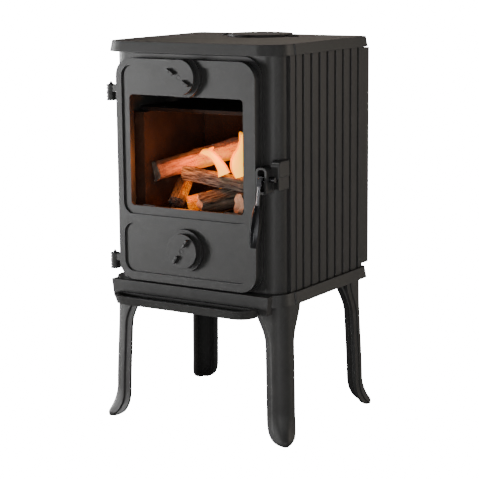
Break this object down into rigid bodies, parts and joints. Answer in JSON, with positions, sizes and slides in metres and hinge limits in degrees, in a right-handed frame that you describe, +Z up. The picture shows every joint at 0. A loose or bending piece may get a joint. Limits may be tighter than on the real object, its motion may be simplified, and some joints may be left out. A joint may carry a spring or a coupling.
{
  "type": "wood burning stove",
  "caption": "Cast iron wood burning stove on splayed legs, with a glazed front door, round air dials, a lifting latch handle and fluted sides.",
  "frame": {"origin": "on the floor, under the middle of the top and base plates", "axes": "+Z up, -Y out of the door, +X to the latch side"},
  "size_m": [0.416, 0.446, 0.745],
  "materials": {
    "iron": "matte stove paint over a sand cast surface",
    "sheet": "matte",
    "steel": "dark satin",
    "grip": "polished dark",
    "glass": "clear heat proof glass",
    "rope": "woven",
    "firebrick": "rough",
    "wood": "bark and split faces",
    "ember": "glowing"
  },
  "bodies": {
    "stove": {"top_plate": "iron", "flue_cover": "iron", "flue_cover_screws": "steel", "front_casting": "iron", "side_panel_left": "iron", "side_panel_right": "iron", "back_panel": "iron", "heat_shield": "sheet", "heat_shield_screws": "steel", "flue_collar": "iron", "flue_collar_bolts": "steel", "base_plate": "iron", "tie_rods": "steel", "tie_rod_nuts": "steel", "ash_lip": "iron", "ash_lip_bolts": "steel", "leg_front_left": "iron", "leg_front_right": "iron", "leg_rear_left": "iron", "leg_rear_right": "iron", "leg_bolts": "steel", "firebrick_left": "firebrick", "firebrick_right": "firebrick", "firebrick_rear": "firebrick", "baffle_plate": "iron", "grate_shelf": "iron", "grate": "iron", "log_guard": "iron", "ash_pan": "sheet", "ash_pan_handle": "steel", "hinge_brackets": "iron", "hinge_pins": "steel", "latch_keeper": "iron", "keeper_pin": "steel", "log_rear": "wood", "log_bark": "wood", "log_leaning": "wood", "log_split": "wood", "log_round": "wood", "log_ember": "ember"},
    "door": {"door_casting": "iron", "door_glass": "glass", "glass_gasket": "rope", "glass_clips": "steel", "glass_screws": "steel", "door_rope": "rope", "airwash_plate": "sheet", "latch_housing": "iron", "handle_pivot": "steel", "dial_bolts": "steel", "dial_nuts": "steel"},
    "handle": {"handle_lever": "steel", "handle_grip": "grip"},
    "upper_dial": {"upper_dial": "iron"},
    "lower_dial": {"lower_dial": "iron"}
  },
  "joints": [
    {"name": "door_hinge", "type": "hinge", "parent": "stove", "child": "door", "pos_m": [-0.1815, -0.161, 0.486], "axis": [0, 0, -1], "range_deg": [0, 110]},
    {"name": "handle_lift", "type": "hinge", "parent": "door", "child": "handle", "pos_m": [0.1635, -0.169, 0.5], "axis": [-1, 0, 0], "range_deg": [0, 60]},
    {"name": "upper_dial_turn", "type": "hinge", "parent": "door", "child": "upper_dial", "pos_m": [-0.0075, -0.173, 0.678], "axis": [0, -1, 0], "range_deg": [0, 90]},
    {"name": "lower_dial_turn", "type": "hinge", "parent": "door", "child": "lower_dial", "pos_m": [-0.0075, -0.173, 0.354], "axis": [0, -1, 0], "range_deg": [0, 90]}
  ]
}
